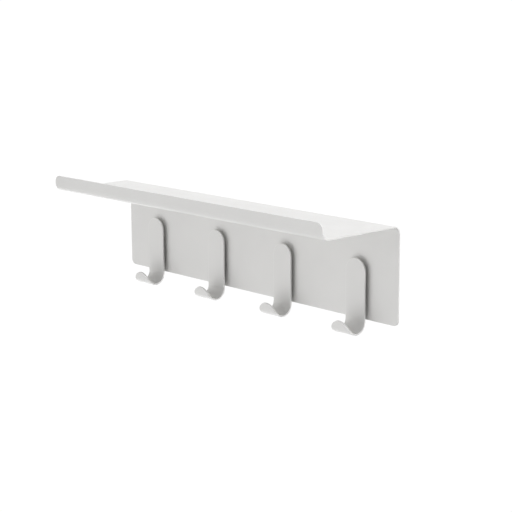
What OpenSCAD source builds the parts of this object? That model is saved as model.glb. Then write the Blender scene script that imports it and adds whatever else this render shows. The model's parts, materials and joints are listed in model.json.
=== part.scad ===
// Wall coat rack: one folded sheet of steel makes the back plate, the shelf and
// the lip, and flat steel hooks stand off the plate on threaded spacers.
// X runs along the rack, the room is towards -Y and the wall is the plane y = 0.
// The origin is on the wall, midway between the two wall screws.

/* [Panel] */
// Length of the sheet from end to end
panel_w = 600; // [560:10:800]
// Height of the sheet's back, from the shelf's top face to the lower edge
plate_h = 143; // [130:1:170]
// Depth from the wall to the front face of the lip
shelf_d = 152; // [120:1:200]
// Height of the lip above the shelf's top face
lip_h = 23; // [18:1:30]
// Thickness of the sheet
sheet_t = 2; // [1.8:0.1:3]
// Outside radius of the two folds
fold_r = 12; // [8:0.5:14]
// Radius of the plate's two lower corners
plate_corner_r = 9; // [5:0.5:12]
// Radius of the lip's two upper corners
lip_corner_r = 10; // [5:0.5:12]

/* [Hooks] */
// Number of hooks
hook_count = 4; // [2:1:6]
// Distance from the panel's end to the middle of the first hook
hook_end = 75; // [60:1:90]
// Width of the hook's strip
strip_w = 37; // [30:0.5:42]
// Thickness of the hook's strip
strip_t = 2.5; // [2.2:0.1:4]
// Gap between the plate and the back of the strip
hook_gap = 5.5; // [4.5:0.5:9]
// Distance from the shelf's top face down to the top of the strip
hook_top_drop = 55; // [45:1:60]
// How far the hook hangs below the plate
hook_hang = 18.7; // [16:0.1:26]
// Inside radius of the hook's throat
throat_r = 14.9; // [12:0.1:18]
// Angle that the strip is bent through, in degrees
throat_turn = 168; // [150:1:180]
// Straight length at the end of the bend
tip_straight = 7.4; // [6:0.1:14]

/* [Fixings] */
// Distance between the two wall screws
wall_hole_pitch = 300; // [200:10:500]
// Diameter of the holes for the wall screws
wall_hole_d = 5.5; // [4:0.1:7]
// Distance from the shelf's top face down to the wall screws
wall_hole_drop = 22; // [19:0.5:30]
// Outside diameter of a stand-off
standoff_d = 9; // [7:0.5:12]
// Diameter of the stand-off's sunk head
standoff_head_d = 11; // [10:0.5:14]
// Height of the stand-off's sunk head
standoff_head_h = 1.2; // [0.8:0.1:1.4]
// Height of the lower stand-off above the plate's lower edge
lower_standoff_rise = 14; // [10:0.5:20]
// Thread diameter of the hook screws
screw_d = 4; // [3:0.5:4]
// Head diameter of the hook screws
screw_head_d = 7.5; // [6.5:0.1:7.5]
// Length of the hook screws over all
screw_len = 6; // [5:0.5:6]
// Width of the hexagon socket across its flats
socket_w = 2.5; // [2:0.1:2.5]
// Depth of the hexagon socket
socket_depth = 1.3; // [0.8:0.1:1.5]

/* [Hidden] */
// Clearance all round a screw in a threaded bore, and a stand-off's head in its pocket
snug_gap = 0.05;
// Clearance all round a screw in the plate
hole_gap = 0.15;
// How far a screw's head lies below the back of the plate
head_sink = 0.1;
// Depth that a stand-off's bore has past the end of its screw
bore_spare = 0.5;
// Chamfer at the end of a screw
screw_chamfer = 0.4;
// How far a cut runs past the face that it cuts
overrun = 1;
// How far a curve is set past a flat face at a tangent, so that the two cross cleanly
tangent_cross = 0.004;
$fn = 96;

// Levels and depths that several pieces share
shelf_z = wall_hole_drop;
plate_low_z = shelf_z - plate_h;
plate_front_y = -sheet_t;
strip_back_y = plate_front_y - hook_gap;
strip_top_z = shelf_z - hook_top_drop;
hook_pitch = (panel_w - 2 * hook_end) / (hook_count - 1);
throat_outer_r = throat_r + strip_t;
throat_y = strip_back_y - throat_outer_r;
throat_z = plate_low_z - hook_hang + throat_outer_r;
tip_inner_x = throat_r - tangent_cross;
tip_round_r = strip_w / 2 + tangent_cross;
tip_round_y = tip_straight - tip_round_r;
upper_standoff_z = strip_top_z - strip_w / 2;
lower_standoff_z = plate_low_z + lower_standoff_rise;
screw_hole_d = screw_d + 2 * hole_gap;
countersink_d = screw_head_d + 2 * (head_sink + hole_gap);
standoff_bore_d = screw_d + 2 * snug_gap;
standoff_bore_depth = screw_len + head_sink - sheet_t + bore_spare;

hook_numbers = [1 : hook_count];

function hook_x(n) = (n - (hook_count + 1) / 2) * hook_pitch;

module coat() color([0.87, 0.87, 0.86]) children();
module zinc() color([0.72, 0.73, 0.75]) children();

// Turns a flat outline, drawn in X and Y, upright, with its thickness from y = 0 to -t
module upright(t) rotate([90, 0, 0]) linear_extrude(t) children();

// Turns a shape that stands along Z to point from the wall into the room
module from_wall() rotate([90, 0, 0]) children();

// A square-cornered blank of width w and height h with its lower corners rounded
module blank_with_round_corners(w, h, r) {
  translate([-w / 2, r]) square([w, h - r]);
  translate([r - w / 2, 0]) square([w - 2 * r, h]);
  for (side = [-1, 1]) translate([side * (w / 2 - r), r]) circle(r);
}

// A quarter fold of the sheet round the X axis, from the wall's side up to the top
module fold() rotate([90, 0, 90]) rotate_extrude(angle = 90)
  translate([fold_r - sheet_t, -panel_w / 2]) square([sheet_t, panel_w]);

module back_plate() translate([0, 0, plate_low_z])
  upright(sheet_t) blank_with_round_corners(panel_w, plate_h - fold_r, plate_corner_r);

module shelf() translate([-panel_w / 2, fold_r - shelf_d, shelf_z - sheet_t])
  cube([panel_w, shelf_d - 2 * fold_r, sheet_t]);

module lip() translate([0, sheet_t - shelf_d, shelf_z + lip_h])
  mirror([0, 0, 1]) upright(sheet_t)
    blank_with_round_corners(panel_w, lip_h + sheet_t - fold_r, lip_corner_r);

module folded_sheet() {
  back_plate();
  translate([0, -fold_r, shelf_z - fold_r]) fold();
  shelf();
  translate([0, fold_r - shelf_d, shelf_z - sheet_t + fold_r]) rotate([180, 0, 0]) fold();
  lip();
}

// A hole through the plate with a countersink in its back, for one hook screw
module countersunk_hole() from_wall() {
  translate([0, 0, -overrun]) cylinder(h = sheet_t + 2 * overrun, d = screw_hole_d);
  translate([0, 0, -overrun])
    cylinder(
      h = overrun + (countersink_d - screw_hole_d) / 2,
      d1 = countersink_d + 2 * overrun,
      d2 = screw_hole_d
    );
}

module wall_hole() from_wall() translate([0, 0, -overrun])
  cylinder(h = sheet_t + 2 * overrun, d = wall_hole_d);

module rack_panel() coat() difference() {
  folded_sheet();
  for (side = [-1, 1]) translate([side * wall_hole_pitch / 2, 0, 0]) wall_hole();
  for (n = hook_numbers, z = [upper_standoff_z, lower_standoff_z])
    translate([hook_x(n), 0, z]) countersunk_hole();
}

// The bent strip, swept round Z from the shank and on past the tip
module bend() rotate_extrude(angle = throat_turn + 90)
  translate([throat_r, -strip_w / 2]) square([strip_t, strip_w]);

// The straight tip, wider than the strip, with a mitred start that stays inside the bend
module tip_plate() translate([0, 0, -strip_w / 2 - overrun])
  linear_extrude(strip_w + 2 * overrun) polygon([
    [tip_inner_x, strip_t],
    [tip_inner_x + strip_t, 0],
    [tip_inner_x + strip_t, tip_straight + overrun],
    [tip_inner_x, tip_straight + overrun]
  ]);

// What the tip's round end leaves, seen along the radius that the bend stops at
module tip_corners() rotate([90, 0, 90]) linear_extrude(throat_outer_r + overrun) difference() {
  translate([tip_round_y, -strip_w / 2 - 2 * overrun])
    square([tip_round_r + throat_outer_r, strip_w + 4 * overrun]);
  translate([tip_round_y, 0]) circle(tip_round_r);
}

// The mouth of the throat, on the inner side of the tip
module mouth() translate([-overrun, 0, -strip_w / 2 - 2 * overrun])
  cube([overrun + tip_inner_x, throat_outer_r + overrun, strip_w + 4 * overrun]);

// The J below the strip, bent round Z and starting at the shank
module throat() difference() {
  union() {
    bend();
    rotate(throat_turn) tip_plate();
  }
  rotate(throat_turn) {
    tip_corners();
    mouth();
  }
}

module shank() translate([0, strip_back_y, 0]) upright(strip_t) {
  translate([0, strip_top_z - strip_w / 2]) circle(d = strip_w);
  translate([-strip_w / 2, throat_z])
    square([strip_w, strip_top_z - strip_w / 2 - throat_z]);
}

// The blind pocket at the back of the strip that holds a stand-off's head
module head_pocket() translate([0, strip_back_y, 0]) from_wall() translate([0, 0, -overrun])
  cylinder(h = standoff_head_h + overrun, d = standoff_head_d + 2 * snug_gap);

module hook() coat() difference() {
  union() {
    shank();
    translate([0, throat_y, throat_z]) rotate([-90, 0, 90]) throat();
  }
  for (z = [upper_standoff_z, lower_standoff_z]) translate([0, 0, z]) head_pocket();
}

module standoff() zinc() translate([0, plate_front_y, 0]) from_wall() difference() {
  union() {
    cylinder(h = hook_gap, d = standoff_d);
    translate([0, 0, hook_gap]) cylinder(h = standoff_head_h, d = standoff_head_d);
  }
  translate([0, 0, -overrun]) cylinder(h = standoff_bore_depth + overrun, d = standoff_bore_d);
}

// A countersunk screw whose head faces the wall
module hook_screw() zinc() translate([0, -head_sink, 0]) from_wall() difference() {
  rotate_extrude() polygon([
    [0, 0],
    [screw_head_d / 2, 0],
    [screw_d / 2, (screw_head_d - screw_d) / 2],
    [screw_d / 2, screw_len - screw_chamfer],
    [screw_d / 2 - screw_chamfer, screw_len],
    [0, screw_len]
  ]);
  translate([0, 0, -overrun])
    cylinder(h = socket_depth + overrun, d = socket_w / cos(30), $fn = 6);
}

rack_panel();
for (n = hook_numbers) translate([hook_x(n), 0, 0]) {
  hook();
  translate([0, 0, upper_standoff_z]) standoff();
  translate([0, 0, lower_standoff_z]) standoff();
  translate([0, 0, upper_standoff_z]) hook_screw();
  translate([0, 0, lower_standoff_z]) hook_screw();
}
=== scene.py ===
"""Wall coat rack with a shelf, in white coated steel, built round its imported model.

The rack is one sheet of steel that makes the back plate, the shelf and the lip. Four hooks of flat
strip stand off the plate on turned spacers, which screws hold from behind. The sheet and the hooks
are made as a workshop makes them: a flat blank is cut and pierced, gets its thickness, has its rims
softened and is bent along a forming path.
"""

import json
import logging
import math
from dataclasses import dataclass, field
from enum import Enum

import bmesh
import bpy
from mathutils import Matrix, Vector


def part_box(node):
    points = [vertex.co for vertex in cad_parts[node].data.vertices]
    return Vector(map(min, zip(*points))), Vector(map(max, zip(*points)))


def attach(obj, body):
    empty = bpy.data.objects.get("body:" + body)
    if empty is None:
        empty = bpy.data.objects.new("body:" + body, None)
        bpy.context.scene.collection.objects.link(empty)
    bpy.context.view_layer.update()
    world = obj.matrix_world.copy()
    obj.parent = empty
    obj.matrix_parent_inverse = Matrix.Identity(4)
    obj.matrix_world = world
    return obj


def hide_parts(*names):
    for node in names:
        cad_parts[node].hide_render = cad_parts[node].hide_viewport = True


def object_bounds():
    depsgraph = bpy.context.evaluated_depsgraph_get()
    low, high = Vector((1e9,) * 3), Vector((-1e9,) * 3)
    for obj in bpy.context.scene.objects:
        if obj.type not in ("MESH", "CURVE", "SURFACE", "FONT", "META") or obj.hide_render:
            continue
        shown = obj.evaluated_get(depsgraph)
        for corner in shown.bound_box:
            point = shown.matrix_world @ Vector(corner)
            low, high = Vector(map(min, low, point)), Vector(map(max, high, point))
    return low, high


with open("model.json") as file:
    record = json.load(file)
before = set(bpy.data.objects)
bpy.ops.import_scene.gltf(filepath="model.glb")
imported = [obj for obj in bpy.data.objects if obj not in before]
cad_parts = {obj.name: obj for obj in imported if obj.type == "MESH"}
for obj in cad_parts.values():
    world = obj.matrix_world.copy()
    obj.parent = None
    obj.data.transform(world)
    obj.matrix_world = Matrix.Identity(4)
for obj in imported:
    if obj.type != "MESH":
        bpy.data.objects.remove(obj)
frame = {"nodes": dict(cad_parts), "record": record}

CAD_LOW, CAD_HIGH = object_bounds()
BODY = "root"
MM = 0.001
QUARTER_TURN = math.pi / 2
WELD = 1e-7
LEVEL_TOLERANCE = 1e-6
ROUND_TOLERANCE = 5e-6
SHARP_EDGE = math.radians(60)
CRISP_EDGE = math.radians(40)
FACE_WEIGHT = 100
HEXAGON_SIDES = 6
WHITE_BACKGROUND = 1.05

Colour = tuple[float, float, float]

log = logging.getLogger("coat_rack")


class Slot(Enum):
    """The record's material slots."""

    COAT = "white_powder_coat"
    ZINC = "zinc_plate"


class Heading(Enum):
    """The way in which a forming path sets out, as an angle in the plane of Y and Z."""

    UP = QUARTER_TURN
    DOWN = -QUARTER_TURN


class Graph:
    """A node tree that is being filled."""

    def __init__(self, tree: bpy.types.NodeTree) -> None:
        """Takes the node tree of a material or of the world, and empties it."""
        self.tree = tree
        tree.nodes.clear()

    def add(self, kind: str, inputs: dict[str | int, object] | None = None,
            **settings: object) -> bpy.types.Node:
        """Adds a node.

        Args:
            kind: the node's type, without the words ShaderNode
            inputs: socket name or number to a value, or to the output socket that feeds it
            settings: the node's own properties

        Returns:
            The new node.
        """
        node = self.tree.nodes.new("ShaderNode" + kind)
        for name, value in settings.items():
            setattr(node, name, value)
        for key, value in (inputs or {}).items():
            if isinstance(value, bpy.types.NodeSocket):
                self.tree.links.new(value, node.inputs[key])
            else:
                node.inputs[key].default_value = value
        return node

    def reckon(self, operation: str, first: bpy.types.NodeSocket,
               second: bpy.types.NodeSocket | float) -> bpy.types.NodeSocket:
        """Reckons with two numbers, where the operation is in the Math node's own words."""
        return self.add("Math", {0: first, 1: second}, operation=operation).outputs[0]

    def noise(self, place: bpy.types.NodeSocket, grain: float,
              detail: float = 2.0) -> bpy.types.NodeSocket:
        """Adds a noise from 0 to 1, with a grain in metres and so many finer layers of detail."""
        inputs = {"Vector": place, "Scale": 1 / grain, "Detail": detail, "Roughness": 0.5}
        return self.add("TexNoise", inputs).outputs["Fac"]

    def spread(self, source: bpy.types.NodeSocket, low: float, high: float, start: float = 0.3,
               end: float = 0.7) -> bpy.types.NodeSocket:
        """Maps a pattern to a range of values.

        Args:
            source: the pattern
            low: the value where the pattern is at start
            high: the value where the pattern is at end
            start: a share of the pattern
            end: a share of the pattern

        Returns:
            The output socket.
        """
        inputs = {"Value": source, "From Min": start, "From Max": end,
                  "To Min": low, "To Max": high}
        return self.add("MapRange", inputs).outputs["Result"]

    def tint(self, share: bpy.types.NodeSocket, first: Colour | bpy.types.NodeSocket,
             second: Colour) -> bpy.types.NodeSocket:
        """Mixes two colours.

        Args:
            share: how much of the second colour there is, from 0 to 1
            first: a colour, or the output socket of one
            second: a colour

        Returns:
            The colour's output socket.
        """
        start = first if isinstance(first, bpy.types.NodeSocket) else (*first, 1.0)
        mix = self.add("Mix", {"Factor": share, "A": start, "B": (*second, 1.0)},
                       data_type="RGBA", clamp_factor=True)
        return mix.outputs["Result"]

    def mean(self, share: bpy.types.NodeSocket | float, first: bpy.types.NodeSocket,
             second: bpy.types.NodeSocket | float) -> bpy.types.NodeSocket:
        """Mixes two numbers, with the share that the second one has, from 0 to 1."""
        return self.add("Mix", {"Factor": share, "A": first, "B": second}).outputs["Result"]


@dataclass(frozen=True)
class PowderCoat:
    """A matt white powder coat: fine orange peel, a faint drift of tone, and a painted highlight of
    lighter colour on the rims.

    Attributes:
        name: the material's name
        white: the coat's colour on a broad face
        shade: the colour that it drifts to
        rim: the lighter colour painted on the rims as a highlight
        roughness: how matt the broad faces are, from their least to their most
        rim_roughness: how matt the rims are
        peel: the width of the orange peel's dimples
        grain: the width of the powder's own grain
        grain_share: how much of the relief is grain
        patch: the width of the more and less matt patches
        drift: the width of the drift of tone
        relief: the depth of the orange peel
    """

    name: str = "white_powder_coat_finish"
    white: Colour = (0.780, 0.775, 0.762)
    shade: Colour = (0.755, 0.750, 0.738)
    # A lighter colour for the rims: a painted highlight along the edges.
    rim: Colour = (0.880, 0.875, 0.864)
    roughness: tuple[float, float] = (0.29, 0.33)
    rim_roughness: float = 0.285
    peel: float = 1.6 * MM
    grain: float = 0.35 * MM
    grain_share: float = 0.3
    patch: float = 19.2 * MM
    drift: float = 70 * MM
    relief: float = 0.002 * MM

    def material(self) -> bpy.types.Material:
        """Builds the material from nodes, on Object coordinates and the rim attribute.

        Returns:
            The material.
        """
        made = bpy.data.materials.new(self.name)
        made.use_nodes = True
        graph = Graph(made.node_tree)
        place = graph.add("TexCoord").outputs["Object"]
        rim = graph.add("Attribute", attribute_name=FormedSheet.RIM_LAYER).outputs["Fac"]

        drift = graph.spread(graph.noise(place, self.drift, detail=3.0), 0.0, 1.0)
        tone = graph.tint(drift, self.white, self.shade)
        # The rims are mixed towards a lighter colour: a painted highlight along the edges.
        tone_and_rim_highlight = graph.tint(graph.spread(rim, 0.0, 1.0, start=0.5, end=1.0), tone, self.rim)
        matt = graph.spread(graph.noise(place, self.patch), *self.roughness)
        peel = graph.noise(place, self.peel)
        grain = graph.noise(place, self.grain, detail=1.0)
        height = graph.mean(self.grain_share, peel, grain)
        bump = graph.add("Bump", {"Height": height, "Strength": 1.0, "Distance": self.relief})
        shader = graph.add("BsdfPrincipled", {
            "Base Color": tone_and_rim_highlight,
            "Roughness": graph.mean(rim, matt, self.rim_roughness),
            "Normal": bump.outputs["Normal"],
            "Specular IOR Level": 0.5,
        })
        graph.add("OutputMaterial", {"Surface": shader.outputs["BSDF"]})
        return made


@dataclass(frozen=True)
class ZincPlate:
    """Bright zinc on turned steel: a cool satin with cloudy passivation and fine turning marks.

    Attributes:
        name: the material's name
        bright: the plain zinc
        cloud: the duller, bluer zinc of the passivated patches
        roughness: how satin the plate is, from bright zinc to a patch
        cloud_size: the width of the patches
        turning: the pitch of the turning marks
        waver: how unevenly the turning marks run
        relief: the depth of the turning marks
    """

    name: str = "zinc_plate_finish"
    bright: Colour = (0.74, 0.75, 0.765)
    cloud: Colour = (0.62, 0.645, 0.68)
    roughness: tuple[float, float] = (0.24, 0.40)
    cloud_size: float = 2.2 * MM
    turning: float = 0.16 * MM
    waver: float = 0.6
    relief: float = 0.004 * MM

    def material(self) -> bpy.types.Material:
        """Builds the material from nodes, on Object coordinates.

        Returns:
            The material.
        """
        made = bpy.data.materials.new(self.name)
        made.use_nodes = True
        graph = Graph(made.node_tree)
        place = graph.add("TexCoord").outputs["Object"]
        clouds = graph.noise(place, self.cloud_size, detail=3.0)
        tone = graph.tint(graph.spread(clouds, 0.0, 1.0), self.bright, self.cloud)
        satin = graph.spread(clouds, *self.roughness)
        pitch = math.tau * self.turning
        waves = {"Vector": place, "Scale": 1 / pitch, "Distortion": self.waver}
        marks = graph.add("TexWave", waves, bands_direction="Y")
        bump = graph.add("Bump", {"Height": marks.outputs["Fac"], "Distance": self.relief})
        shader = graph.add("BsdfPrincipled", {
            "Base Color": tone,
            "Roughness": satin,
            "Normal": bump.outputs["Normal"],
            "Metallic": 1.0,
        })
        graph.add("OutputMaterial", {"Surface": shader.outputs["BSDF"]})
        return made


@dataclass
class Wardrobe:
    """The finishes, each made once and shared by the pieces that wear it."""

    coats: dict[Slot, bpy.types.Material] = field(default_factory=dict)

    def stock(self) -> None:
        """Makes a material for every slot."""
        self.coats = {Slot.COAT: PowderCoat().material(), Slot.ZINC: ZincPlate().material()}

    def dress(self, mesh: bmesh.types.BMesh, name: str, slot: Slot, node: str) -> bpy.types.Object:
        """Turns a finished mesh into a piece that stands for a node of the frame.

        Args:
            mesh: the finished mesh, in the frame's place, which is used up
            name: the piece's name
            slot: the material slot that it takes its finish from
            node: the node that it replaces

        Returns:
            The piece.
        """
        for face in mesh.faces:
            face.smooth = True
        for edge in mesh.edges:
            edge.smooth = edge.calc_face_angle(0) < CRISP_EDGE

        data = bpy.data.meshes.new(name)
        mesh.to_mesh(data)
        mesh.free()
        data.materials.append(self.coats[slot])
        piece = bpy.data.objects.new(name, data)
        bpy.context.scene.collection.objects.link(piece)
        normals = piece.modifiers.new("face_weighted_normals", "WEIGHTED_NORMAL")
        normals.weight = FACE_WEIGHT
        normals.keep_sharp = True
        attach(piece, BODY)
        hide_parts(node)
        log.info("%s: %d faces, stands for %s", name, len(data.polygons), node)
        return piece


@dataclass(frozen=True)
class Stretch:
    """One stretch of a forming path.

    Attributes:
        length: its length along the middle of the sheet
        turn: the angle that it is bent through, positive to the left of the way that it runs
    """

    length: float
    turn: float = 0.0


@dataclass(frozen=True)
class FormingPath:
    """The line that the middle of a formed sheet follows, in the plane of Y and Z.

    Attributes:
        start: where it starts
        heading: the way in which it sets out
        stretches: its straight and bent stretches, in order
    """

    start: Vector
    heading: Heading
    stretches: tuple[Stretch, ...]

    def length(self) -> float:
        """The blank's length, developed flat."""
        return sum(s.length for s in self.stretches)

    def creases(self, step: float) -> list[float]:
        """Where the blank needs an edge across it.

        Args:
            step: the angle from one edge to the next in a bend

        Returns:
            Distances along the blank, in order, without its two ends.
        """
        found, so_far = [], 0.0
        for stretch in self.stretches:
            parts = max(1, round(abs(stretch.turn) / step))
            found += [so_far + stretch.length * i / parts for i in range(parts)]
            so_far += stretch.length
        return found[1:]

    def place(self, along: float, off: float) -> tuple[float, float]:
        """Bends one point of the blank.

        Args:
            along: its distance along the blank
            off: its distance from the middle of the sheet, positive to the left of the path

        Returns:
            Its Y and Z.
        """
        spot, angle, left = self.start.copy(), self.heading.value, along
        for number, stretch in enumerate(self.stretches):
            final = number == len(self.stretches) - 1
            run = left if final else min(left, stretch.length)
            turned = stretch.turn * run / stretch.length
            if stretch.turn:
                radius = stretch.length / stretch.turn
                spot += radius * Vector((math.sin(angle + turned) - math.sin(angle),
                                         math.cos(angle) - math.cos(angle + turned)))
            else:
                spot += run * Vector((math.cos(angle), math.sin(angle)))
            angle += turned
            left -= run
            if left <= 0:
                break
        spot += off * Vector((-math.sin(angle), math.cos(angle)))
        return spot.x, spot.y


@dataclass
class FormedSheet:
    """A sheet part that is cut flat and then bent along a forming path.

    The blank lies in the plane of X and Y until it is formed: X runs across the path, Y along it
    and Z through the sheet.

    Attributes:
        middle: X of the blank's middle
        width: the blank's width
        thickness: the sheet's thickness
        path: the forming path
        rim_radius: how far the rims are rounded
        rim_segments: how many facets a rounded rim has
        band: the width of the band along a rim where the coat changes
        bend_step: the angle of one facet of a bend
        round_segments: how many facets a rounded corner has
        hole_segments: how many facets a hole has
        cell: half the side of the square round a hole, as a share of the hole's radius
        first_inset: how far inside that square a hole's ring starts, as a share of its half side
        mask: how far the edges round a masked spot are left sharp, as a share of its radius
    """

    RIM_LAYER = "rim"

    middle: float
    width: float
    thickness: float
    path: FormingPath
    rim_radius: float = 0.3 * MM
    rim_segments: int = 3
    # band: the width of the band along a rim over which the painted rim highlight and the rims'
    # roughness fade out
    band: float = 1.1 * MM
    bend_step: float = math.radians(4.5)
    round_segments: int = 16
    hole_segments: int = 32
    cell: float = 1.6
    first_inset: float = 0.1
    mask: float = 1.2

    def cut_blank(self) -> bmesh.types.BMesh:
        """Cuts the plain rectangle that the part starts from.

        Returns:
            One face, from the path's start to its end.
        """
        bm = bmesh.new()
        bmesh.ops.create_grid(bm, x_segments=1, y_segments=1, size=0.5)
        bmesh.ops.scale(bm, vec=(self.width, self.path.length(), 1), verts=bm.verts)
        bmesh.ops.translate(bm, vec=(self.middle, self.path.length() / 2, 0), verts=bm.verts)
        return bm

    def round_end(self, bm: bmesh.types.BMesh, far: bool, radius: float) -> None:
        """Rounds the two corners at one end of the blank.

        Args:
            bm: the blank, still one face
            far: whether it is the end of the path, and not its start
            radius: the corners' radius
        """
        half = self.path.length() / 2
        corners = [v for v in bm.verts if (v.co.y > half) == far]
        bmesh.ops.bevel(bm, geom=corners, offset=radius, offset_type="OFFSET",
                        segments=self.round_segments, profile=0.5,
                        affect="VERTICES", material=-1, clamp_overlap=False)

    def slit(self, bm: bmesh.types.BMesh, place: Vector, across: Vector) -> None:
        """Draws an edge right across the blank, through a place and square to a direction."""
        bmesh.ops.bisect_plane(bm, geom=[*bm.verts, *bm.edges, *bm.faces], dist=WELD,
                               plane_co=place, plane_no=across)

    def score(self, bm: bmesh.types.BMesh) -> None:
        """Draws the edges across the blank that the bends need."""
        for along in self.path.creases(self.bend_step):
            self.slit(bm, Vector((0, along, 0)), Vector((0, 1, 0)))

    def pierce(self, bm: bmesh.types.BMesh, centre: Vector, radius: float, through: bool) -> None:
        """Draws a round hole, in a square cell of its own.

        Args:
            bm: the blank, still without thickness
            centre: the hole's centre
            radius: its radius
            through: whether it goes through, or stays a face that can be sunk later
        """
        reach = self.cell * radius
        for axis in (Vector((1, 0, 0)), Vector((0, 1, 0))):
            for side in (-1, 1):
                self.slit(bm, centre + side * reach * axis, axis)
        patch = self.face_at(bm, centre)
        bmesh.ops.subdivide_edges(bm, edges=patch.edges[:],
                                  cuts=self.hole_segments // len(patch.edges) - 1)
        patch = self.face_at(bm, centre)
        bmesh.ops.inset_individual(bm, faces=[patch], thickness=self.first_inset * reach,
                                   use_even_offset=True)
        step = math.tau / len(patch.verts)
        in_turn = sorted(patch.verts, key=lambda v: self.bearing(v, centre, step / 4))
        for place, vert in enumerate(in_turn):
            angle = place * step
            vert.co = centre + radius * Vector((math.cos(angle), math.sin(angle), 0))
        if through:
            bmesh.ops.delete(bm, geom=[patch], context="FACES_ONLY")

    @staticmethod
    def face_at(bm: bmesh.types.BMesh, centre: Vector) -> bmesh.types.BMFace:
        """Finds the face whose middle is at a point."""
        return next(f for f in bm.faces if (f.calc_center_median() - centre).length < WELD)

    @staticmethod
    def bearing(vert: bmesh.types.BMVert, centre: Vector, lead: float) -> float:
        """Measures a point's angle from +X plus a lead, so that +X itself isn't a full turn."""
        away = vert.co - centre
        return (math.atan2(away.y, away.x) + lead) % math.tau

    def thicken(self, bm: bmesh.types.BMesh) -> None:
        """Gives the blank its thickness, with the middle of the sheet at Z = 0.

        Args:
            bm: the pierced blank
        """
        bmesh.ops.remove_doubles(bm, verts=bm.verts, dist=WELD)
        bmesh.ops.recalc_face_normals(bm, faces=bm.faces)
        if sum(f.normal.z for f in bm.faces) < 0:
            bmesh.ops.reverse_faces(bm, faces=bm.faces)
        bmesh.ops.inset_region(bm, faces=bm.faces, thickness=self.band, use_boundary=True,
                               use_even_offset=True)
        bmesh.ops.solidify(bm, geom=bm.faces[:], thickness=self.thickness)
        bmesh.ops.translate(bm, vec=(0, 0, self.thickness / 2), verts=bm.verts)

    def soften(self, bm: bmesh.types.BMesh, masked: list[tuple[Vector, float]]) -> None:
        """Rounds the rims and marks them for the finish's painted rim highlight and rim roughness.

        Args:
            bm: the blank with its thickness
            masked: the centre and radius of each round spot whose edges stay sharp
        """
        layer = bm.verts.layers.float.new(self.RIM_LAYER)
        rims = [e for e in bm.edges if e.calc_face_angle(0) > SHARP_EDGE
                and all((e.verts[0].co.xy - centre.xy).length > self.mask * radius
                        for centre, radius in masked)]
        made = bmesh.ops.bevel(bm, geom=rims, offset=self.rim_radius, offset_type="OFFSET",
                               segments=self.rim_segments, profile=0.5,
                               affect="EDGES", material=-1, clamp_overlap=False)
        # This mask carries the coat's painted rim highlight and its rim roughness.
        for vert in made["verts"]:
            vert[layer] = 1.0

    def form(self, bm: bmesh.types.BMesh) -> None:
        """Bends the blank along its path.

        Args:
            bm: the finished blank
        """
        for vert in bm.verts:
            vert.co.y, vert.co.z = self.path.place(vert.co.y, vert.co.z)
        bmesh.ops.recalc_face_normals(bm, faces=bm.faces)


def circle_verts(bm: bmesh.types.BMesh, centre: Vector, radius: float,
                 height: float) -> list[bmesh.types.BMVert]:
    """Finds a blank's points at a height on a circle, of whose centre only X and Y count."""
    return [v for v in bm.verts if abs(v.co.z - height) < LEVEL_TOLERANCE
            and abs((v.co.xy - centre.xy).length - radius) < ROUND_TOLERANCE]


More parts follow.
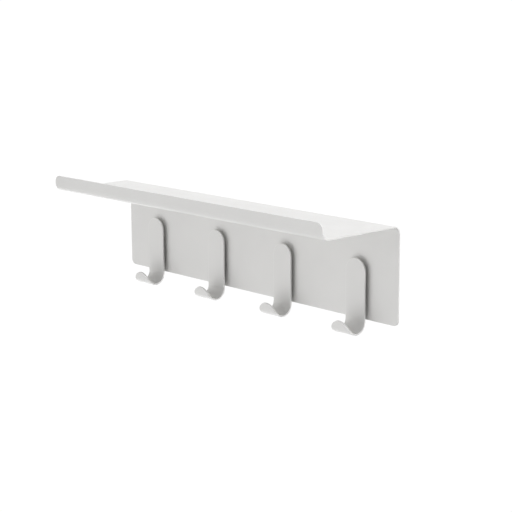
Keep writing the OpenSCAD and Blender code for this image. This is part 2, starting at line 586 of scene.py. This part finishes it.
@dataclass
class RackPanel:
    """The folded sheet: back plate, shelf and lip.

    Attributes:
        node: the node that it stands for
        thickness: the sheet's thickness
        fold_radius: the outside radius of the folds
        lip_height: the lip's height above the shelf
        plate_corner: the radius of the plate's lower corners
        lip_corner: the radius of the lip's upper corners
        screw_hole: the radius of the holes for the hook screws
        countersink: the radius of their countersinks, at the back of the plate
    """

    node: str = "rack_panel"
    thickness: float = 2 * MM
    fold_radius: float = 12 * MM
    lip_height: float = 23 * MM
    plate_corner: float = 9 * MM
    lip_corner: float = 10 * MM
    screw_hole: float = 2.15 * MM
    countersink: float = 4.0 * MM

    def sheet(self) -> FormedSheet:
        """Works out the blank and its path from the frame.

        Returns:
            The sheet, which isn't cut yet.
        """
        low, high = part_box(self.node)
        shelf_top = high.z - self.lip_height
        fold = Stretch(QUARTER_TURN * (self.fold_radius - self.thickness / 2), QUARTER_TURN)
        path = FormingPath(
            start=Vector((high.y - self.thickness / 2, low.z)),
            heading=Heading.UP,
            stretches=(
                Stretch(shelf_top - low.z - self.fold_radius),
                fold,
                Stretch(high.y - low.y - 2 * self.fold_radius),
                Stretch(fold.length, -fold.turn),
                Stretch(self.lip_height + self.thickness - self.fold_radius),
            ),
        )
        return FormedSheet((low.x + high.x) / 2, high.x - low.x, self.thickness, path)

    def wall_holes(self) -> tuple[list[Vector], float]:
        """Reads the wall screws' holes from the record.

        Returns:
            Their centres on the blank, and their radius.
        """
        mount = next(m for m in frame["record"]["mounts"] if m["name"] == "wall_screws")
        low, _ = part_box(self.node)
        x, _, z = mount["pos_m"]
        reach = mount["dims"]["spacing_x_mm"] * MM / 2
        centres = [Vector((x + side * reach, z - low.z, 0)) for side in (-1, 1)]
        return centres, mount["dims"]["hole_r_mm"] * MM

    def screw_holes(self) -> list[Vector]:
        """Finds the hook screws' centres on the blank, from the screws' own places.

        Returns:
            The centres.
        """
        low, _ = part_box(self.node)
        boxes = [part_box(name) for name in sorted(frame["nodes"]) if "_screw_" in name]
        middles = [(first + second) / 2 for first, second in boxes]
        return [Vector((m.x, m.z - low.z, 0)) for m in middles]

    def sink(self, bm: bmesh.types.BMesh, centre: Vector) -> None:
        """Countersinks one hole from the back of the plate.

        Args:
            bm: the blank with its thickness
            centre: the hole's centre
        """
        back = circle_verts(bm, centre, self.screw_hole, -self.thickness / 2)
        front = circle_verts(bm, centre, self.screw_hole, self.thickness / 2)
        walls = [e for v in back for e in v.link_edges if e.other_vert(v) in front]
        split = bmesh.ops.subdivide_edges(bm, edges=walls, cuts=1)["geom_inner"]
        neck = [v for v in split if isinstance(v, bmesh.types.BMVert)]
        depth = self.countersink - self.screw_hole
        for vert in neck:
            vert.co.z = depth - self.thickness / 2
        # The split has put new points in the place of the rim's, so they are looked up again.
        back = circle_verts(bm, centre, self.screw_hole, -self.thickness / 2)
        grow = self.countersink / self.screw_hole
        bmesh.ops.scale(bm, vec=(grow, grow, 1), verts=back, space=Matrix.Translation(-centre))

    def build(self, wardrobe: Wardrobe) -> bpy.types.Object:
        """Makes the folded sheet.

        Args:
            wardrobe: the finishes

        Returns:
            The piece.
        """
        sheet = self.sheet()
        bm = sheet.cut_blank()
        sheet.round_end(bm, False, self.plate_corner)
        sheet.round_end(bm, True, self.lip_corner)
        sheet.score(bm)
        wall_holes, wall_hole = self.wall_holes()
        screw_holes = self.screw_holes()
        for centre in wall_holes:
            sheet.pierce(bm, centre, wall_hole, through=True)
        for centre in screw_holes:
            sheet.pierce(bm, centre, self.screw_hole, through=True)
        sheet.thicken(bm)
        for centre in screw_holes:
            self.sink(bm, centre)
        sheet.soften(bm, [(centre, self.countersink) for centre in screw_holes])
        sheet.form(bm)
        return wardrobe.dress(bm, "folded_rack_panel", Slot.COAT, self.node)


@dataclass
class CoatHook:
    """One hook: flat strip with full round ends, bent into a J at its foot.

    Attributes:
        number: which hook it is, from the left
        thickness: the strip's thickness
        throat_radius: the inside radius of the J
        throat_turn: the angle that the strip is bent through
        tip: the straight length past the bend
        pocket_depth: the depth of the pockets for the stand-offs' heads
        head_gap: the clearance round a stand-off's head
        end_flat: the share of the width that the two roundings of an end leave between them
        end_segments: how many facets each of these roundings has
    """

    number: int
    thickness: float = 2.5 * MM
    throat_radius: float = 14.9 * MM
    throat_turn: float = math.radians(168)
    tip: float = 7.4 * MM
    pocket_depth: float = 1.2 * MM
    head_gap: float = 0.05 * MM
    end_flat: float = 0.0005
    end_segments: int = 24

    def node(self) -> str:
        """The node that the hook stands for."""
        return f"hook_{self.number}"

    def strip(self) -> FormedSheet:
        """Works out the blank and its path from the frame.

        Returns:
            The strip, which isn't cut yet.
        """
        low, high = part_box(self.node())
        middle_radius = self.throat_radius + self.thickness / 2
        foot = low.z + self.throat_radius + self.thickness
        path = FormingPath(
            start=Vector((high.y - self.thickness / 2, high.z)),
            heading=Heading.DOWN,
            stretches=(
                Stretch(high.z - foot),
                Stretch(middle_radius * self.throat_turn, -self.throat_turn),
                Stretch(self.tip),
            ),
        )
        return FormedSheet((low.x + high.x) / 2, high.x - low.x, self.thickness, path,
                           round_segments=self.end_segments)

    def pockets(self) -> list[tuple[Vector, float]]:
        """Finds the pockets from the stand-offs' own places.

        Returns:
            A centre on the blank and a radius for each.
        """
        _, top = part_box(self.node())
        found = []
        for row in ("upper", "lower"):
            low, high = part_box(f"{row}_standoff_{self.number}")
            middle = (low + high) / 2
            radius = (high.x - low.x) / 2 + self.head_gap
            found.append((Vector((middle.x, top.z - middle.z, 0)), radius))
        return found

    def sink(self, bm: bmesh.types.BMesh, centre: Vector, radius: float) -> None:
        """Sinks one pocket in the back of the strip.

        Args:
            bm: the blank with its thickness
            centre: the pocket's centre
            radius: its radius
        """
        mouth = circle_verts(bm, centre, radius, self.thickness / 2)
        floor = next(f for f in bm.faces if set(f.verts) == set(mouth))
        sunk = bmesh.ops.extrude_face_region(bm, geom=[floor])["geom"]
        verts = [v for v in sunk if isinstance(v, bmesh.types.BMVert)]
        bmesh.ops.translate(bm, vec=(0, 0, -self.pocket_depth), verts=verts)
        bmesh.ops.delete(bm, geom=[floor], context="FACES_ONLY")

    def build(self, wardrobe: Wardrobe) -> bpy.types.Object:
        """Makes the bent strip.

        Args:
            wardrobe: the finishes

        Returns:
            The piece.
        """
        strip = self.strip()
        pockets = self.pockets()
        bm = strip.cut_blank()
        for far in (False, True):
            strip.round_end(bm, far, strip.width / 2 * (1 - self.end_flat))
        bmesh.ops.remove_doubles(bm, verts=bm.verts, dist=2 * strip.width * self.end_flat)
        strip.score(bm)
        for centre, radius in pockets:
            strip.pierce(bm, centre, radius, through=False)
        strip.thicken(bm)
        for centre, radius in pockets:
            self.sink(bm, centre, radius)
        strip.soften(bm, pockets)
        strip.form(bm)
        return wardrobe.dress(bm, f"bent_hook_{self.number}", Slot.COAT, self.node())


@dataclass
class TurnedPart:
    """A turned part whose axis points from the wall into the room.

    Attributes:
        centre: X and Z of its axis
        back: Y of its end at the wall
        steps: how many facets it has round
    """

    centre: Vector
    back: float
    steps: int = 48

    def turn(self, profile: list[tuple[float, float]]) -> bmesh.types.BMesh:
        """Spins a profile round the axis.

        Args:
            profile: pairs of radius and distance from the back, along the outline

        Returns:
            The turned skin, open where the profile is.
        """
        bm = bmesh.new()
        verts = [bm.verts.new((radius, -reach, 0)) for radius, reach in profile]
        edges = [bm.edges.new(pair) for pair in zip(verts, verts[1:])]
        bmesh.ops.spin(bm, geom=[*verts, *edges], cent=(0, 0, 0), axis=(0, 1, 0), angle=math.tau,
                       steps=self.steps, use_merge=True)
        bmesh.ops.remove_doubles(bm, verts=bm.verts, dist=WELD)
        return bm

    def settle(self, bm: bmesh.types.BMesh) -> None:
        """Points the part's faces outwards and moves it from the Y axis to its own place."""
        bmesh.ops.recalc_face_normals(bm, faces=bm.faces)
        bmesh.ops.translate(bm, vec=(self.centre.x, self.back, self.centre.y), verts=bm.verts)


@dataclass
class StandOff:
    """A turned spacer with a head that is sunk in the back of a hook.

    Attributes:
        row: upper or lower
        number: the hook that it carries
        radius: the radius of its body
        head: the height of its head
        bore: the radius of its threaded bore
        bore_depth: the depth of the bore, without the drill's point
        drill_point: the depth of that point, as a share of the bore's radius
        chamfer: the chamfer at its rims
    """

    row: str
    number: int
    radius: float = 4.5 * MM
    head: float = 1.2 * MM
    bore: float = 2.05 * MM
    bore_depth: float = 4.6 * MM
    drill_point: float = 0.5
    chamfer: float = 0.25 * MM

    def build(self, wardrobe: Wardrobe) -> bpy.types.Object:
        """Makes the stand-off.

        Args:
            wardrobe: the finishes

        Returns:
            The piece.
        """
        node = f"{self.row}_standoff_{self.number}"
        low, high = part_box(node)
        length, head_radius, cut = high.y - low.y, (high.x - low.x) / 2, self.chamfer
        middle = (low + high) / 2
        part = TurnedPart(Vector((middle.x, middle.z)), high.y)
        bm = part.turn([
            (0, self.bore_depth + self.drill_point * self.bore),
            (self.bore, self.bore_depth),
            (self.bore, cut),
            (self.bore + cut, 0),
            (self.radius - cut, 0),
            (self.radius, cut),
            (self.radius, length - self.head),
            (head_radius, length - self.head),
            (head_radius, length - cut),
            (head_radius - cut, length),
            (0, length),
        ])
        part.settle(bm)
        return wardrobe.dress(bm, f"turned_{node}", Slot.ZINC, node)


@dataclass
class HookScrew:
    """A countersunk screw with a hexagon socket, whose head faces the wall.

    Attributes:
        row: upper or lower
        number: the hook that it holds
        radius: the thread's radius
        socket: the socket's width across its flats
        socket_depth: the socket's depth
        edge: the width of the small land round the head's edge
        chamfer: the chamfer at the end
    """

    row: str
    number: int
    radius: float = 2 * MM
    socket: float = 2.5 * MM
    socket_depth: float = 1.3 * MM
    edge: float = 0.12 * MM
    chamfer: float = 0.4 * MM

    def build(self, wardrobe: Wardrobe) -> bpy.types.Object:
        """Makes the screw.

        Args:
            wardrobe: the finishes

        Returns:
            The piece.
        """
        node = f"{self.row}_screw_{self.number}"
        low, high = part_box(node)
        length, head_radius = high.y - low.y, (high.x - low.x) / 2
        middle = (low + high) / 2
        part = TurnedPart(Vector((middle.x, middle.z)), high.y)
        corner = self.socket / 2 / math.cos(math.pi / HEXAGON_SIDES)
        ring_radius = (corner + head_radius) / 2
        bm = part.turn([
            (ring_radius, 0),
            (head_radius - self.edge, 0),
            (head_radius - self.edge, self.edge),
            (self.radius, head_radius - self.radius),
            (self.radius, length - self.chamfer),
            (self.radius - self.chamfer, length),
            (0, length),
        ])
        facing = Matrix.Rotation(QUARTER_TURN, 4, "X")
        hexagon = bmesh.ops.create_circle(bm, cap_ends=False, radius=corner,
                                          segments=HEXAGON_SIDES, matrix=facing)["verts"]
        sides = list({e for v in hexagon for e in v.link_edges})
        cuts = part.steps // HEXAGON_SIDES - 1
        cut = bmesh.ops.subdivide_edges(bm, edges=sides, cuts=cuts)["geom_split"]
        mouth = [e for e in cut if isinstance(e, bmesh.types.BMEdge)]
        ring = [e for e in bm.edges if e.is_boundary and e not in mouth]
        bmesh.ops.bridge_loops(bm, edges=ring + mouth)
        deeper = bmesh.ops.extrude_edge_only(bm, edges=mouth)["geom"]
        bmesh.ops.translate(bm, vec=(0, -self.socket_depth, 0),
                            verts=[v for v in deeper if isinstance(v, bmesh.types.BMVert)])
        floor = [e for e in deeper if isinstance(e, bmesh.types.BMEdge) and e.is_boundary]
        bmesh.ops.contextual_create(bm, geom=floor)
        part.settle(bm)
        return wardrobe.dress(bm, f"socket_{node}", Slot.ZINC, node)


@dataclass(frozen=True)
class PhotoCamera:
    """The camera, at the place that the object's straight edges give it.

    Attributes:
        place: where it stands
        yaw: how far it is turned to the left of +Y
        dip: how far it looks down
        roll: how far it is turned round its own view
        focal_share: the focal length as a share of the sensor's width
        reach: how far it sees, in metres
    """

    place: tuple[float, float, float] = (1.58444, -1.44711, 0.37695)
    yaw: float = math.radians(47.463)
    dip: float = math.radians(11.626)
    roll: float = math.radians(-0.352)
    focal_share: float = 1430.47 / 512
    reach: float = 50.0

    def set_up(self) -> None:
        """Makes the camera the scene's own."""
        data = bpy.data.cameras.new("photo_camera")
        data.lens = data.sensor_width * self.focal_share
        data.clip_end = self.reach
        camera = bpy.data.objects.new("photo_camera", data)
        bpy.context.scene.collection.objects.link(camera)
        turned = Matrix.Rotation(self.yaw, 4, "Z")
        dipped = turned @ Matrix.Rotation(QUARTER_TURN - self.dip, 4, "X")
        rolled = dipped @ Matrix.Rotation(self.roll, 4, "Z")
        camera.matrix_world = Matrix.Translation(self.place) @ rolled
        bpy.context.scene.camera = camera


@dataclass(frozen=True)
class SoftLight:
    """A soft patch of light on the studio's walls and ceiling.

    Attributes:
        azimuth: its direction round the object, in degrees: 0 in front and 90 on the right
        height: its angle above the horizon, in degrees
        strength: the brightness of its middle
        focus: how small it is, where a larger number is smaller
    """

    azimuth: float
    height: float
    strength: float
    focus: float = 6.0

    def direction(self) -> Vector:
        """Works out the direction from the object to the light.

        Returns:
            A vector of length one.
        """
        turned, up = math.radians(self.azimuth), math.radians(self.height)
        level = math.cos(up)
        return Vector((math.sin(turned) * level, -math.cos(turned) * level, math.sin(up)))

    def glow(self, graph: Graph, towards: bpy.types.NodeSocket) -> bpy.types.NodeSocket:
        """Adds the patch to the sky's nodes.

        Args:
            graph: the sky's nodes
            towards: the direction that is looked in

        Returns:
            The patch's brightness.
        """
        near = graph.add("VectorMath", {0: towards, 1: self.direction()}, operation="DOT_PRODUCT")
        ahead = graph.reckon("MAXIMUM", near.outputs["Value"], 0.0)
        faded = graph.reckon("POWER", ahead, self.focus)
        return graph.reckon("MULTIPLY", faded, self.strength)


@dataclass(frozen=True)
class Studio:
    """A plain white studio: a pale floor far below the object and soft lights all round it.

    Attributes:
        lights: the soft lights
        floor_drop: how far the floor lies below the object
        floor_side: the floor's side
        floor_patch: the width of the patches of its two tones
        floor_tones: the two tones
    """

    lights: tuple[SoftLight, ...] = (
        SoftLight(azimuth=0, height=90, strength=1.86),
        SoftLight(azimuth=0, height=50, strength=0.31),
        SoftLight(azimuth=120, height=50, strength=1.72),
        SoftLight(azimuth=0, height=12, strength=0.44),
        SoftLight(azimuth=120, height=12, strength=0.66),
        SoftLight(azimuth=160, height=12, strength=0.73),
        SoftLight(azimuth=200, height=12, strength=1.23),
        SoftLight(azimuth=240, height=12, strength=0.78),
        SoftLight(azimuth=320, height=12, strength=0.79),
        SoftLight(azimuth=0, height=-30, strength=1.16),
        SoftLight(azimuth=245, height=-30, strength=1.77),
        SoftLight(azimuth=330, height=-30, strength=1.70),
        SoftLight(azimuth=270, height=-55, strength=0.42),
        SoftLight(azimuth=100, height=8, strength=0.39, focus=20.0),
        SoftLight(azimuth=98, height=-15, strength=4.20, focus=40.0),
        SoftLight(azimuth=120, height=-16, strength=3.00, focus=20.0),
    )
    floor_drop: float = 2.5
    floor_side: float = 30.0
    floor_patch: float = 0.8
    floor_tones: tuple[Colour, Colour] = ((0.97, 0.97, 0.97), (1.0, 1.0, 1.0))

    def lay_floor(self) -> None:
        """Lays the pale floor, which is seen but gives no light: the sky's low lights do that."""
        made = bpy.data.materials.new("pale_floor_finish")
        made.use_nodes = True
        graph = Graph(made.node_tree)
        place = graph.add("TexCoord").outputs["Object"]
        tone = graph.tint(graph.noise(place, self.floor_patch), *self.floor_tones)
        shader = graph.add("Emission", {"Color": tone, "Strength": WHITE_BACKGROUND})
        graph.add("OutputMaterial", {"Surface": shader.outputs["Emission"]})
        bm = bmesh.new()
        bmesh.ops.create_grid(bm, x_segments=1, y_segments=1, size=self.floor_side / 2)
        bmesh.ops.translate(bm, vec=(0, 0, CAD_LOW.z - self.floor_drop), verts=bm.verts)
        data = bpy.data.meshes.new("pale_floor")
        bm.to_mesh(data)
        bm.free()
        data.materials.append(made)
        floor = bpy.data.objects.new("pale_floor", data)
        floor.visible_diffuse = False
        floor.visible_glossy = False
        floor.visible_shadow = False
        bpy.context.scene.collection.objects.link(floor)

    def hang_sky(self) -> None:
        """Makes the sky, which is plain white to look at and holds the soft lights."""
        world = bpy.data.worlds.new("studio_sky")
        bpy.context.scene.world = world
        world.use_nodes = True
        graph = Graph(world.node_tree)
        towards = graph.add("TexCoord").outputs["Generated"]
        total, *others = [light.glow(graph, towards) for light in self.lights]
        for glow in others:
            total = graph.reckon("ADD", total, glow)
        lit = graph.add("Background", {"Strength": total})
        seen = graph.add("Background", {"Color": (1.0, 1.0, 1.0, 1.0),
                                        "Strength": WHITE_BACKGROUND})
        ray = graph.add("LightPath").outputs["Is Camera Ray"]
        both = graph.add("MixShader", {0: ray, 1: lit.outputs[0], 2: seen.outputs[0]})
        graph.add("OutputWorld", {"Surface": both.outputs[0]})

    def set_up(self) -> None:
        """Lights the scene and shows its colours as they are."""
        self.lay_floor()
        self.hang_sky()
        view = bpy.context.scene.view_settings
        view.view_transform = "Standard"
        view.look = "None"


def main() -> None:
    """Builds the rack, sub-assembly by sub-assembly, in its studio."""
    logging.basicConfig(level=logging.INFO, format="%(name)s: %(message)s")
    wardrobe = Wardrobe()
    wardrobe.stock()
    PhotoCamera().set_up()
    Studio().set_up()
    RackPanel().build(wardrobe)
    hooks = [name for name in frame["nodes"] if name.startswith("hook_")]
    for number in sorted(int(name.split("_")[1]) for name in hooks):
        CoatHook(number).build(wardrobe)
        for row in ("upper", "lower"):
            StandOff(row, number).build(wardrobe)
            HookScrew(row, number).build(wardrobe)


if __name__ == "__main__":
    main()
